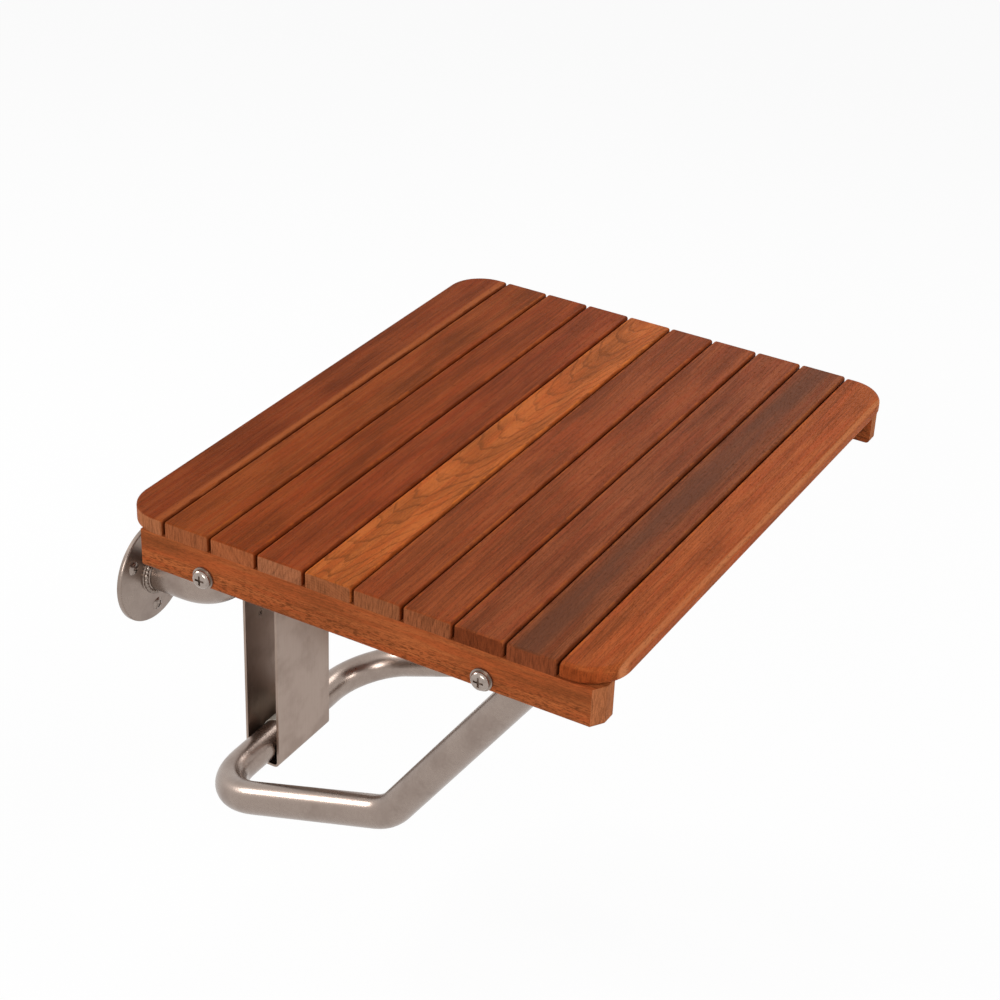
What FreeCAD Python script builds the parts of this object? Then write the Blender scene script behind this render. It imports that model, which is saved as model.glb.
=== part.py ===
import FreeCAD, Part
import math
import os
import re

import Sketcher

# Fold down wall seat: ten wooden slats on a steel frame, hinged on two bent tube arms, with a
# bent tube brace whose foot slides up a guide on the wall while the seat folds up.
# The wall is the plane Y = 0 and the seat stands out towards -Y. +Z is up, and Z = 0 is the
# height of the wall flanges' centres. "Reach" is a distance out from the wall.

Vector = FreeCAD.Vector
DOC = FreeCAD.newDocument("fold_down_wall_seat")
SHEET = DOC.addObject("Spreadsheet::Sheet", "sizes")

SIZES = {
    # wooden deck
    "slat_count": 10,
    "slat_width": 34.4,
    "slat_gap": 1.6,
    "slat_length": 441.5,
    "slat_thick": 11,
    "slat_round": 1.8,
    "slat_corner": 2.2,
    "deck_lip_round": 4,
    "deck_lip_under": 3,
    "deck_corner": 28,
    "deck_reach": 41.8,
    "deck_top": 104,
    "rail_thick": 18,
    "rail_height": 28,
    "rail_start_reach": 59,
    "rail_end_reach": 394.5,
    "rail_nose_depth": 5.8,
    "rail_nose_width": 9,
    "rail_round": 3,
    # flat steel under the deck
    "side_bar_thick": 5,
    "side_bar_height": 28,
    "side_bar_start_reach": 67,
    "side_bar_end_reach": 372,
    "cross_bar_thick": 4,
    "middle_bar_reach": 246,
    "middle_bar_width": 25,
    "front_bar_reach": 338,
    "front_bar_width": 34,
    # strap hangers round the brace's top bar
    "hanger_offset": 70,
    "hanger_width": 27,
    "hanger_thick": 3,
    "hanger_bend": 5,
    "hanger_depth": 41,
    "hanger_rear_reach": 272.5,
    "hanger_front_reach": 353.4,
    "hanger_shoulder_drop": 17,
    "hanger_lip_reach": 338.4,
    # hinge
    "hinge_reach": 84,
    "hinge_height": 73,
    "rod_radius": 5,
    "rod_clearance": 0.05,
    "barrel_radius": 14,
    "barrel_length": 25.5,
    "bush_radius": 7.5,
    "bush_flange_radius": 11,
    "bush_flange_thick": 1,
    "bush_ease": 0.02,
    "collar_radius": 10,
    "collar_length": 8,
    "collar_gap": 0.3,
    "set_screw_radius": 2.5,
    "set_screw_sink": 0.4,
    "set_screw_socket": 1.5,
    "set_screw_floor": 1.2,
    # bent tubes and wall flanges
    "tube_radius": 12.5,
    "tube_wall": 2,
    "arm_offset": 140.5,
    "arm_bend": 52,
    "flange_radius": 38,
    "flange_thick": 5,
    "flange_rim": 3,
    "flange_round": 1.2,
    "flange_hole_radius": 2.75,
    "flange_hole_circle": 27,
    "weld_size": 3.5,
    # brace
    "foot_reach": 15.5,
    "foot_drop": 214.6,
    "foot_half_width": 105.5,
    "knee_reach": 183,
    "knee_drop": 156.8,
    "leg_half_width": 113.4,
    "brace_top_reach": 339,
    "brace_top_height": 65,
    "brace_foot_bend": 48,
    "brace_knee_bend": 38,
    "top_bar_half": 126,
    "plug_thick": 2,
    "plug_cap_inset": 0.3,
    "plug_depth": 12,
    # wall guide
    "guide_width": 70,
    "guide_depth": 31,
    "guide_sheet": 2,
    "guide_bend": 5,
    "guide_bottom_drop": 230.15,
    "guide_top_drop": 68,
    "guide_tab_height": 12,
    "guide_hole_radius": 2.25,
    "guide_sink_radius": 3.75,
    "guide_hole_offset": 15,
    "guide_low_hole_drop": 105,
    "guide_high_hole_drop": 20,
    "sleeve_radius": 13.2,
    "sleeve_length": 30,
    # fasteners
    "bolt_radius": 3,
    "bolt_head_radius": 6.5,
    "bolt_head_height": 3.6,
    "bolt_head_round": 2.6,
    "bolt_hole_radius": 3.2,
    "bolt_rear_reach": 108.5,
    "bolt_front_reach": 315,
    "bolt_height": 73,
    "recess_length": 7,
    "recess_width": 1.5,
    "recess_depth": 1.8,
    "washer_radius": 7.75,
    "washer_thick": 1.5,
    "nut_radius": 5.75,
    "nut_thick": 5,
    "bolt_tail": 2,
    "deck_screw_radius": 2.2,
    "deck_screw_head": 4.5,
    "deck_screw_sink": 3,
    "deck_screw_length": 36,
    "deck_screw_setback": 5,
    "deck_screw_margin": 8,
}

LEFT, RIGHT = "-1", "1"
SIDES = {"left": LEFT, "right": RIGHT}
PARTS = []


def fill_sheet():
    for row, (name, number) in enumerate(SIZES.items(), start=1):
        SHEET.set(f"A{row}", name)
        SHEET.set(f"B{row}", str(number))
        SHEET.setAlias(f"B{row}", name)
    DOC.recompute()


def formula(text):
    """A formula in the sheet's names, as an expression that any object can hold."""
    return re.sub(r"[a-z_]+", lambda word: f"sizes.{word[0]}" if word[0] in SIZES else word[0], text)


def value(text):
    return float(SHEET.evalExpression(formula(text)))


def bind(item, name, text):
    item.setExpression(name, formula(text))


def put(item, place, along="Z"):
    """Binds an object's place to the sheet, with its own Z axis turned to the named direction."""
    directions = {"X": Vector(1, 0, 0), "Y": Vector(0, 1, 0), "Z": Vector(0, 0, 1)}
    direction = directions[along[-1]] * (-1 if along.startswith("-") else 1)
    turn = FreeCAD.Rotation(Vector(0, 0, 1), direction)
    item.Placement = FreeCAD.Placement(Vector(), turn)
    for axis, text in zip("xyz", place):
        bind(item, f"Placement.Base.{axis}", text)


def sub_part(item, label):
    """Marks an object as one of the seat's sub-parts."""
    item.Label = label
    PARTS.append(item)
    return item


# Primitives and booleans


def cylinder(name, radius, height, place, along="Z"):
    item = DOC.addObject("Part::Cylinder", name)
    bind(item, "Radius", radius)
    bind(item, "Height", height)
    put(item, place, along)
    return item


def cone(name, radius, end_radius, height, place, along="Z"):
    item = DOC.addObject("Part::Cone", name)
    bind(item, "Radius1", radius)
    bind(item, "Radius2", end_radius)
    bind(item, "Height", height)
    put(item, place, along)
    return item


def hexagon(name, radius, height, place, along="Z"):
    item = DOC.addObject("Part::Prism", name)
    item.Polygon = 6
    bind(item, "Circumradius", radius)
    bind(item, "Height", height)
    put(item, place, along)
    return item


def box(name, lengths, place):
    """A box whose place is its middle."""
    item = DOC.addObject("Part::Box", name)
    for side, text in zip(("Length", "Width", "Height"), lengths):
        bind(item, side, text)
    put(item, [f"({middle}) - ({text}) / 2" for middle, text in zip(place, lengths)])
    return item


def cut(name, base, tool):
    item = DOC.addObject("Part::Cut", name)
    item.Base = base
    item.Tool = tool
    return item


def fuse(name, shapes):
    item = DOC.addObject("Part::MultiFuse", name)
    item.Shapes = shapes
    return item


def group(name, shapes):
    """Separate solids of one kind, kept as one sub-part."""
    item = DOC.addObject("Part::Compound", name)
    item.Links = shapes
    return item


# Part Design bodies and sketches


def new_body(name, place=("0", "0", "0")):
    body = DOC.addObject("PartDesign::Body", name)
    put(body, place)
    return body


def new_sketch(body, role):
    sketch = body.newObject("Sketcher::SketchObject", f"{body.Name}_sketch")
    plane = next(item for item in body.Origin.OriginFeatures if item.Role == role)
    sketch.AttachmentSupport = [(plane, "")]
    sketch.MapMode = "FlatFace"
    return sketch


def fix_point(sketch, geometry, position, place):
    """Holds one sketch point at two formulas, measured from the sketch's origin."""
    for kind, text in zip(("DistanceX", "DistanceY"), place):
        rule = Sketcher.Constraint(kind, -1, 1, geometry, position, value(text))
        number = sketch.addConstraint(rule)
        bind(sketch, f"Constraints[{number}]", text)


def draw_polygon(sketch, corners):
    points = [Vector(value(across), value(up), 0) for across, up in corners]
    first = sketch.GeometryCount
    count = len(points)
    for number, point in enumerate(points):
        sketch.addGeometry(Part.LineSegment(point, points[(number + 1) % count]), False)
    for number in range(count):
        following = first + (number + 1) % count
        sketch.addConstraint(Sketcher.Constraint("Coincident", first + number, 2, following, 1))
    for number, corner in enumerate(corners):
        fix_point(sketch, first + number, 1, corner)


def draw_rectangle(sketch, low, high):
    corners = [(low[0], low[1]), (high[0], low[1]), (high[0], high[1]), (low[0], high[1])]
    draw_polygon(sketch, corners)


def draw_circle(sketch, middle, radius):
    centre = Vector(value(middle[0]), value(middle[1]), 0)
    circle = Part.Circle(centre, Vector(0, 0, 1), value(radius))
    number = sketch.addGeometry(circle, False)
    fix_point(sketch, number, 3, middle)
    rule = sketch.addConstraint(Sketcher.Constraint("Radius", number, value(radius)))
    bind(sketch, f"Constraints[{rule}]", radius)


def pad(body, sketch, length, symmetric=False, backwards=False):
    feature = body.newObject("PartDesign::Pad", f"{body.Name}_pad")
    feature.Profile = sketch
    feature.SideType = "Symmetric" if symmetric else "One side"
    feature.Reversed = backwards
    bind(feature, "Length", length)
    DOC.recompute()
    return feature


def pocket_through(body, sketch):
    """Cuts a sketch's outline through the whole body, both ways from the sketch."""
    volume = body.Shape.Volume
    feature = body.newObject("PartDesign::Pocket", f"{body.Name}_pocket")
    feature.Profile = sketch
    feature.SideType = "Symmetric"
    feature.Type = "ThroughAll"
    DOC.recompute()
    if body.Shape.Volume >= volume:
        raise RuntimeError(f"{feature.Name} cuts nothing")
    return feature


def round_edges(body, radius, chosen):
    """Fillets the edges of the body's tip that a test chooses."""
    base = body.Tip
    names = [f"Edge{number}" for number, edge in enumerate(base.Shape.Edges, start=1) if chosen(edge)]
    feature = body.newObject("PartDesign::Fillet", f"{body.Name}_fillet")
    feature.Base = (base, names)
    bind(feature, "Radius", radius)
    DOC.recompute()
    return feature


def lies_at(edge, axis, text):
    """True for an edge that lies wholly in the plane where the axis has the formula's value."""
    bounds = edge.BoundBox
    low = getattr(bounds, f"{axis}Min")
    high = getattr(bounds, f"{axis}Max")
    return abs(low - value(text)) < 0.01 and abs(high - value(text)) < 0.01


# Bent tube and strap


def bent_path(name, corners, bends):
    """A wire of straight runs through 3-D corners, with an arc of the given bend at each corner."""
    points = [Vector(*(value(text) for text in corner)) for corner in corners]
    edges = []
    start = points[0]
    for before, corner, after, bend in zip(points, points[1:], points[2:], bends):
        come = (corner - before).normalize()
        leave = (after - corner).normalize()
        half_turn = come.getAngle(leave) / 2
        radius = value(bend)
        setback = radius * math.tan(half_turn)
        enter = corner - come * setback
        leaving = corner + leave * setback
        inward = (leave - come).normalize()
        crown = corner + inward * (radius / math.cos(half_turn) - radius)
        edges.append(Part.LineSegment(start, enter).toShape())
        edges.append(Part.Arc(enter, crown, leaving).toShape())
        start = leaving
    edges.append(Part.LineSegment(start, points[-1]).toShape())
    path = DOC.addObject("Part::Feature", name)
    path.Shape = Part.Wire(edges)
    return path


def sweep(name, profile, path):
    item = DOC.addObject("Part::Sweep", name)
    item.Sections = [profile]
    item.Spine = (path, [f"Edge{number + 1}" for number in range(len(path.Shape.Edges))])
    item.Solid = True
    item.Frenet = False
    return item


def round_sweep(name, radius, path):
    """A solid bar of round section along a path."""
    first = path.Shape.Edges[0]
    circle = DOC.addObject("Part::Circle", f"{name}_circle")
    bind(circle, "Radius", radius)
    start = first.valueAt(first.FirstParameter)
    turn = FreeCAD.Rotation(Vector(0, 0, 1), first.tangentAt(first.FirstParameter))
    circle.Placement = FreeCAD.Placement(start, turn)
    return sweep(name, circle, path)


# Deck


def make_deck_screws():
    """Two countersunk screws a slat, up through the rails and clear of the frame bolts."""
    screws = []
    for number in range(int(value("slat_count"))):
        slat_middle = f"deck_reach + slat_width / 2 + {number} * (slat_width + slat_gap)"
        reach = f"-({slat_middle} - deck_screw_setback)"
        if number == 0:
            reach = "-(rail_start_reach + deck_screw_margin)"
        for side in SIDES.values():
            across = f"{side} * (slat_length - rail_thick) / 2"
            place = (across, reach, "deck_top - slat_thick - rail_height")
            name = f"deck_screw_{number + 1}"
            head = cone(f"{name}_head", "deck_screw_head", "deck_screw_radius", "deck_screw_sink", place)
            shank = cylinder(f"{name}_shank", "deck_screw_radius", "deck_screw_length", place)
            screws.append(fuse(name, [head, shank]))
    return sub_part(group("deck_screws", screws), "deck_screws")


def make_slat(number, screws):
    """One slat: rounded top edges, and on the first and last slat the deck's round corners."""
    last = int(value("slat_count"))
    label = f"slat_{number:02d}"
    middle = f"-(deck_reach + slat_width / 2 + {number - 1} * (slat_width + slat_gap))"
    body = new_body(f"{label}_blank", ("0", middle, "deck_top - slat_thick"))
    outline = new_sketch(body, "XY_Plane")
    draw_rectangle(outline, ("-slat_length / 2", "-slat_width / 2"), ("slat_length / 2", "slat_width / 2"))
    pad(body, outline, "slat_thick")
    outer_edge = {1: "slat_width / 2", last: "-slat_width / 2"}.get(number)

    def is_upright(edge):
        return edge.BoundBox.ZLength > value("slat_thick") / 2

    def is_deck_corner(edge):
        return is_upright(edge) and lies_at(edge, "Y", outer_edge)

    def is_small_corner(edge):
        return is_upright(edge) and not (outer_edge and lies_at(edge, "Y", outer_edge))

    def is_top(edge):
        return lies_at(edge, "Z", "slat_thick")

    def is_gap_edge(edge):
        return is_top(edge) and lies_at(edge, "Y", "slat_width / 2")

    def is_under_lip(edge):
        return lies_at(edge, "Z", "0") and lies_at(edge, "Y", outer_edge)

    if number != last:
        round_edges(body, "slat_corner", is_small_corner)
    if outer_edge:
        round_edges(body, "deck_corner", is_deck_corner)
    if number == last:
        round_edges(body, "deck_lip_under", is_under_lip)
        round_edges(body, "deck_lip_round", lambda edge: is_top(edge) and not is_gap_edge(edge))
        round_edges(body, "slat_round", is_gap_edge)
    else:
        round_edges(body, "slat_round", is_top)
    sub_part(cut(label, body, screws), label)


def make_rail(side_name, side, screws):
    """A wooden rail under the slats' ends, with a cut nose and two bolt holes."""
    label = f"{side_name}_rail"
    inner = f"{side} * (slat_length / 2 - rail_thick)"
    outer = f"{side} * slat_length / 2"
    nose_start = f"{side} * (slat_length / 2 - rail_nose_width)"
    body = new_body(f"{label}_blank", ("0", "0", "deck_top - slat_thick - rail_height"))
    plan = new_sketch(body, "XY_Plane")
    corners = [(inner, "-rail_start_reach"), (outer, "-rail_start_reach")]
    corners += [(outer, "-rail_end_reach + rail_nose_depth"), (nose_start, "-rail_end_reach")]
    corners += [(inner, "-rail_end_reach")]
    draw_polygon(plan, corners)
    pad(body, plan, "rail_height")
    holes = new_sketch(body, "YZ_Plane")
    height = "bolt_height - (deck_top - slat_thick - rail_height)"
    for reach in ("-bolt_rear_reach", "-bolt_front_reach"):
        draw_circle(holes, (reach, height), "bolt_hole_radius")
    pocket_through(body, holes)

    def is_lower_outer_edge(edge):
        inside = lies_at(edge, "X", inner) or lies_at(edge, "Y", "-rail_start_reach")
        return lies_at(edge, "Z", "0") and not inside

    round_edges(body, "rail_round", is_lower_outer_edge)
    sub_part(cut(label, body, screws), label)


# Flat steel under the deck


def make_side_bar(side_name, side):
    """A flat bar inside a rail, with holes for the hinge rod and the two bolts."""
    top = "deck_top - slat_thick"
    inner = f"{side} * (slat_length / 2 - rail_thick - side_bar_thick)"
    body = new_body(f"{side_name}_side_bar", (inner, "0", "0"))
    outline = new_sketch(body, "YZ_Plane")
    draw_rectangle(
        outline,
        ("-side_bar_end_reach", f"{top} - side_bar_height"),
        ("-side_bar_start_reach", top),
    )
    draw_circle(outline, ("-hinge_reach", "hinge_height"), "rod_radius + rod_clearance")
    for reach in ("-bolt_rear_reach", "-bolt_front_reach"):
        draw_circle(outline, (reach, "bolt_height"), "bolt_hole_radius")
    pad(body, outline, "side_bar_thick", backwards=side == LEFT)
    sub_part(body, f"{side_name}_side_bar")


def make_cross_bar(label, reach, width):
    span = "slat_length - 2 * (rail_thick + side_bar_thick)"
    place = ("0", f"-({reach} + {width} / 2)", "deck_top - slat_thick - cross_bar_thick / 2")
    sub_part(box(label, (span, width, "cross_bar_thick"), place), label)


def make_hanger(side_name, side):
    """A bent strap under the cross bars that the brace's top bar rests in and slides along."""
    label = f"{side_name}_brace_hanger"
    across = f"{side} * hanger_offset"
    top = "(deck_top - slat_thick - cross_bar_thick - hanger_thick / 2)"
    bottom = f"({top} - hanger_depth)"
    shoulder = f"({top} - hanger_shoulder_drop)"
    corners = [(across, "-middle_bar_reach", top), (across, "-hanger_rear_reach", top)]
    corners += [(across, "-hanger_rear_reach", bottom), (across, "-hanger_front_reach", bottom)]
    corners += [(across, "-hanger_front_reach", shoulder), (across, "-hanger_lip_reach", top)]
    corners += [(across, "-(front_bar_reach + front_bar_width)", top)]
    path = bent_path(f"{label}_path", corners, ["hanger_bend"] * 5)
    section = DOC.addObject("Part::Plane", f"{label}_section")
    bind(section, "Length", "hanger_thick")
    bind(section, "Width", "hanger_width")
    start = (f"{across} + hanger_width / 2", "-middle_bar_reach", f"{top} - hanger_thick / 2")
    upright = FreeCAD.Rotation(Vector(0, 0, 1), Vector(-1, 0, 0), Vector(0, -1, 0))
    section.Placement = FreeCAD.Placement(Vector(), upright)
    for axis, text in zip("xyz", start):
        bind(section, f"Placement.Base.{axis}", text)
    sub_part(sweep(label, section, path), label)


# Hinge


def make_hinge_rod():
    half = "(slat_length / 2 - rail_thick)"
    place = (f"-{half}", "-hinge_reach", "hinge_height")
    sub_part(cylinder("hinge_rod", "rod_radius", f"2 * {half}", place, "X"), "hinge_rod")


def make_bush(name, side, outward):
    """A flanged bush, pushed into one end of a hinge barrel."""
    end = f"{side} * arm_offset + {outward} * barrel_length / 2"
    along = "X" if outward == RIGHT else "-X"
    inward = "-X" if outward == RIGHT else "X"
    place = (end, "-hinge_reach", "hinge_height")
    tip = (f"{end} + {outward} * bush_flange_thick", "-hinge_reach", "hinge_height")
    shell = cylinder(f"{name}_shell", "bush_radius - bush_ease", "barrel_length / 2", place, inward)
    flange = cylinder(f"{name}_flange", "bush_flange_radius", "bush_flange_thick", place, along)
    bore_length = "barrel_length / 2 + bush_flange_thick"
    bore = cylinder(f"{name}_bore", "rod_radius + rod_clearance", bore_length, tip, inward)
    return cut(name, fuse(f"{name}_outer", [shell, flange]), bore)


def make_bushes():
    bushes = []
    for side_name, side in SIDES.items():
        for end_name, outward in SIDES.items():
            bushes.append(make_bush(f"{side_name}_barrel_{end_name}_bush", side, outward))
    sub_part(group("hinge_bushes", bushes), "hinge_bushes")


def make_collars():
    """A shaft collar outboard of each barrel, held on the rod by a set screw from in front."""
    collars = []
    screws = []
    for side_name, side in SIDES.items():
        name = f"{side_name}_collar"
        start = "(arm_offset + barrel_length / 2 + bush_flange_thick + collar_gap)"
        along = "X" if side == RIGHT else "-X"
        place = (f"{side} * {start}", "-hinge_reach", "hinge_height")
        ring = cylinder(f"{name}_ring", "collar_radius", "collar_length", place, along)
        bore = cylinder(f"{name}_bore", "rod_radius", "collar_length", place, along)
        middle = f"{side} * ({start} + collar_length / 2)"
        seat = (middle, "-(hinge_reach + rod_radius)", "hinge_height")
        length = "collar_radius - rod_radius"
        hole = cylinder(f"{name}_hole", "set_screw_radius", length, seat, "-Y")
        collars.append(cut(name, cut(f"{name}_bored", ring, bore), hole))
        stub = cylinder(f"{name}_stub", "set_screw_radius", f"{length} - set_screw_sink", seat, "-Y")
        socket_place = (middle, "-(hinge_reach + rod_radius + set_screw_floor)", "hinge_height")
        socket = hexagon(f"{name}_socket", "set_screw_socket", length, socket_place, "-Y")
        screws.append(cut(f"{name}_screw", stub, socket))
    sub_part(group("hinge_collars", collars), "hinge_collars")
    sub_part(group("collar_screws", screws), "collar_screws")


# Wall arms and flanges


def make_arm(side_name, side):
    """A tube that leaves its flange level, bends up and carries the hinge barrel."""
    label = f"{side_name}_wall_arm"
    across = f"{side} * arm_offset"
    corners = [(across, "-flange_thick", "0"), (across, "-hinge_reach", "0")]
    corners += [(across, "-hinge_reach", "hinge_height")]
    path = bent_path(f"{label}_path", corners, ["arm_bend"])
    outer = round_sweep(f"{label}_outer", "tube_radius", path)
    inner = round_sweep(f"{label}_inner", "tube_radius - tube_wall", path)
    end = (f"{across} - barrel_length / 2", "-hinge_reach", "hinge_height")
    barrel = cylinder(f"{label}_barrel", "barrel_radius", "barrel_length", end, "X")
    bore = cylinder(f"{label}_bore", "bush_radius", "barrel_length", end, "X")
    hollow = cut(f"{label}_hollow", inner, barrel)
    tube = cut(f"{label}_tube", fuse(f"{label}_solid", [outer, barrel]), hollow)
    sub_part(cut(label, tube, bore), label)


def make_flange(side_name, side):
    """A round wall flange, slightly dished, with three screw holes and the weld round the tube."""
    label = f"{side_name}_flange"
    body = new_body(label, (f"{side} * arm_offset", "0", "0"))
    section = new_sketch(body, "YZ_Plane")
    corners = [("0", "0"), ("0", "flange_radius"), ("-flange_rim", "flange_radius")]
    corners += [("-flange_thick", "tube_radius + weld_size")]
    corners += [("-(flange_thick + weld_size)", "tube_radius"), ("-flange_thick", "tube_radius")]
    corners += [("-flange_thick", "0")]
    draw_polygon(section, corners)
    disc = body.newObject("PartDesign::Revolution", f"{label}_disc")
    disc.Profile = section
    disc.ReferenceAxis = (section, ["H_Axis"])
    disc.Angle = 360
    DOC.recompute()
    round_edges(body, "flange_round", lambda edge: lies_at(edge, "Y", "-flange_rim"))
    holes = new_sketch(body, "XZ_Plane")
    for degrees in (30, 150, 270):
        middle = (f"flange_hole_circle * cos({degrees})", f"flange_hole_circle * sin({degrees})")
        draw_circle(holes, middle, "flange_hole_radius")
    pocket_through(body, holes)
    sub_part(body, label)


# Wall guide and its sleeve


def make_guide():
    """A folded strip: a back plate with a tab above, and a front plate that makes a slot with it."""
    body = new_body("wall_guide_blank")
    section = new_sketch(body, "YZ_Plane")
    draw_rectangle(section, ("-guide_depth", "-guide_bottom_drop"), ("0", "-guide_top_drop"))
    draw_rectangle(
        section,
        ("-guide_depth + guide_sheet", "-guide_bottom_drop + guide_sheet"),
        ("-guide_sheet", "-guide_top_drop - guide_sheet"),
    )
    pad(body, section, "guide_width", symmetric=True)
    outside = "guide_bend"

    def on_outer_bend(edge):
        at_bottom = lies_at(edge, "Z", "-guide_bottom_drop") and lies_at(edge, "Y", "0")
        return edge.BoundBox.XLength > 1 and (lies_at(edge, "Y", "-guide_depth") or at_bottom)

    def on_inner_bend(edge):
        low = lies_at(edge, "Z", "-guide_bottom_drop + guide_sheet")
        high = lies_at(edge, "Z", "-guide_top_drop - guide_sheet")
        front = lies_at(edge, "Y", "-guide_depth + guide_sheet")
        return edge.BoundBox.XLength > 1 and (low or (high and front))

    round_edges(body, outside, on_outer_bend)
    round_edges(body, "guide_bend - guide_sheet", on_inner_bend)
    tab = new_sketch(body, "YZ_Plane")
    draw_rectangle(tab, ("-guide_sheet", "-guide_top_drop"), ("0", "guide_tab_height"))
    pad(body, tab, "guide_width", symmetric=True)
    tools = []
    for level in ("low", "high"):
        for side_name, side in SIDES.items():
            name = f"guide_{level}_{side_name}_hole"
            place = (f"{side} * guide_hole_offset", "-guide_sheet", f"-guide_{level}_hole_drop")
            tools.append(cylinder(name, "guide_hole_radius", "guide_sheet", place, "Y"))
            depth = "guide_sink_radius - guide_hole_radius"
            tools.append(cone(f"{name}_sink", "guide_sink_radius", "guide_hole_radius", depth, place, "Y"))
    sub_part(cut("wall_guide_drilled", body, fuse("guide_holes", tools)), "wall_guide")


def make_sleeve():
    """A thin nylon sleeve round the brace's foot, which fills the guide's slot."""
    place = ("-sleeve_length / 2", "-foot_reach", "-foot_drop")
    outer = cylinder("sleeve_outer", "sleeve_radius", "sleeve_length", place, "X")
    bore = cylinder("sleeve_bore", "tube_radius + rod_clearance", "sleeve_length", place, "X")
    sub_part(cut("guide_sleeve", outer, bore), "guide_sleeve")


# Brace


def make_brace():
    """One tube bent into an open frame: leg, knee, foot, knee, leg, with the top bar across."""
    half = []
    for side in (LEFT, RIGHT):
        leg_end = (f"{side} * leg_half_width", "-brace_top_reach", "brace_top_height")
        knee = (f"{side} * leg_half_width", "-knee_reach", "-knee_drop")
        foot = (f"{side} * foot_half_width", "-foot_reach", "-foot_drop")
        half.append([leg_end, knee, foot])
    corners = half[0] + half[1][::-1]
    bends = ["brace_knee_bend", "brace_foot_bend", "brace_foot_bend", "brace_knee_bend"]
    path = bent_path("brace_path", corners, bends)
    outer = round_sweep("brace_outer", "tube_radius", path)
    inner = round_sweep("brace_inner", "tube_radius - tube_wall", path)
    place = ("-top_bar_half", "-brace_top_reach", "brace_top_height")
    bar = cylinder("top_bar_outer", "tube_radius", "2 * top_bar_half", place, "X")
    bore = cylinder("top_bar_bore", "tube_radius - tube_wall", "2 * top_bar_half", place, "X")
    sub_part(cut("brace_frame", cut("brace_tube", outer, inner), bar), "brace_frame")
    sub_part(cut("brace_top_bar", bar, bore), "brace_top_bar")


def make_plugs():
    """A plug in each end of the brace's top bar."""
    plugs = []
    for side_name, side in SIDES.items():
        name = f"{side_name}_plug"
        out, back = ("X", "-X") if side == RIGHT else ("-X", "X")
        place = (f"{side} * top_bar_half", "-brace_top_reach", "brace_top_height")
        cap = cylinder(f"{name}_cap", "tube_radius - plug_cap_inset", "plug_thick", place, out)
        stem = cylinder(f"{name}_stem", "tube_radius - tube_wall", "plug_depth", place, back)
        plugs.append(fuse(name, [cap, stem]))
    sub_part(group("brace_end_plugs", plugs), "brace_end_plugs")


# Frame bolts


def make_bolt(name, side, reach):
    """A domed bolt through rail and side bar, with a cross recess in its head."""
    out, back = ("X", "-X") if side == RIGHT else ("-X", "X")
    face = "(slat_length / 2 + washer_thick)"
    stack = "(2 * washer_thick + rail_thick + side_bar_thick + nut_thick + bolt_tail)"
    place = (f"{side} * {face}", reach, "bolt_height")
    disc = cylinder(f"{name}_disc", "bolt_head_radius", "bolt_head_height", place, out)
    DOC.recompute()
    head = DOC.addObject("Part::Fillet", f"{name}_dome")
    head.Base = disc
    crown = f"{side} * ({face} + bolt_head_height)"
    rim = [number for number, edge in enumerate(disc.Shape.Edges, start=1) if lies_at(edge, "X", crown)]
    head.Edges = [(number, value("bolt_head_round"), value("bolt_head_round")) for number in rim]
    shank = cylinder(f"{name}_shank", "bolt_radius", stack, place, back)
    recess_place = (f"{side} * ({face} + bolt_head_height - recess_depth / 2)", reach, "bolt_height")
    level = box(f"{name}_level", ("recess_depth", "recess_length", "recess_width"), recess_place)
    upright = box(f"{name}_upright", ("recess_depth", "recess_width", "recess_length"), recess_place)
    recess = fuse(f"{name}_recess", [level, upright])
    return cut(name, fuse(f"{name}_solid", [head, shank]), recess)


def make_washer(name, side, across, reach):
    place = (f"{side} * {across}", reach, "bolt_height")
    along = "X" if side == RIGHT else "-X"
    disc = cylinder(f"{name}_disc", "washer_radius", "washer_thick", place, along)
    hole = cylinder(f"{name}_hole", "bolt_hole_radius", "washer_thick", place, along)
    return cut(name, disc, hole)


def make_nut(name, side, reach):
    inner = "(slat_length / 2 - rail_thick - side_bar_thick - washer_thick - nut_thick)"
    place = (f"{side} * {inner}", reach, "bolt_height")
    along = "X" if side == RIGHT else "-X"
    block = hexagon(f"{name}_block", "nut_radius", "nut_thick", place, along)
    bore = cylinder(f"{name}_bore", "bolt_radius", "nut_thick", place, along)
    return cut(name, block, bore)


def make_frame_bolts():
    bolts = []
    washers = []
    nuts = []
    inside = "(slat_length / 2 - rail_thick - side_bar_thick - washer_thick)"
    for side_name, side in SIDES.items():
        for end, reach in (("rear", "-bolt_rear_reach"), ("front", "-bolt_front_reach")):
            name = f"{side_name}_{end}"
            bolts.append(make_bolt(f"{name}_bolt", side, reach))
            washers.append(make_washer(f"{name}_outer_washer", side, "slat_length / 2", reach))
            washers.append(make_washer(f"{name}_inner_washer", side, inside, reach))
            nuts.append(make_nut(f"{name}_nut", side, reach))
    sub_part(group("frame_bolts", bolts), "frame_bolts")
    sub_part(group("frame_washers", washers), "frame_washers")
    sub_part(group("frame_nuts", nuts), "frame_nuts")


def check_document():
    """Stops if any object failed to build or any sub-part isn't a valid closed solid."""
    for item in DOC.Objects:
        if "Invalid" in item.State or "Error" in item.State:
            raise RuntimeError(f"{item.Name} failed: {item.State}")
    for item in PARTS:
        if item.Shape.isNull() or not item.Shape.isValid() or not item.Shape.Solids:
            raise RuntimeError(f"{item.Label} has no valid solid")


def write_parts():
    os.makedirs("parts", exist_ok=True)
    for item in PARTS:
        item.Shape.exportStep(f"parts/{item.Label}.step")


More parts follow.
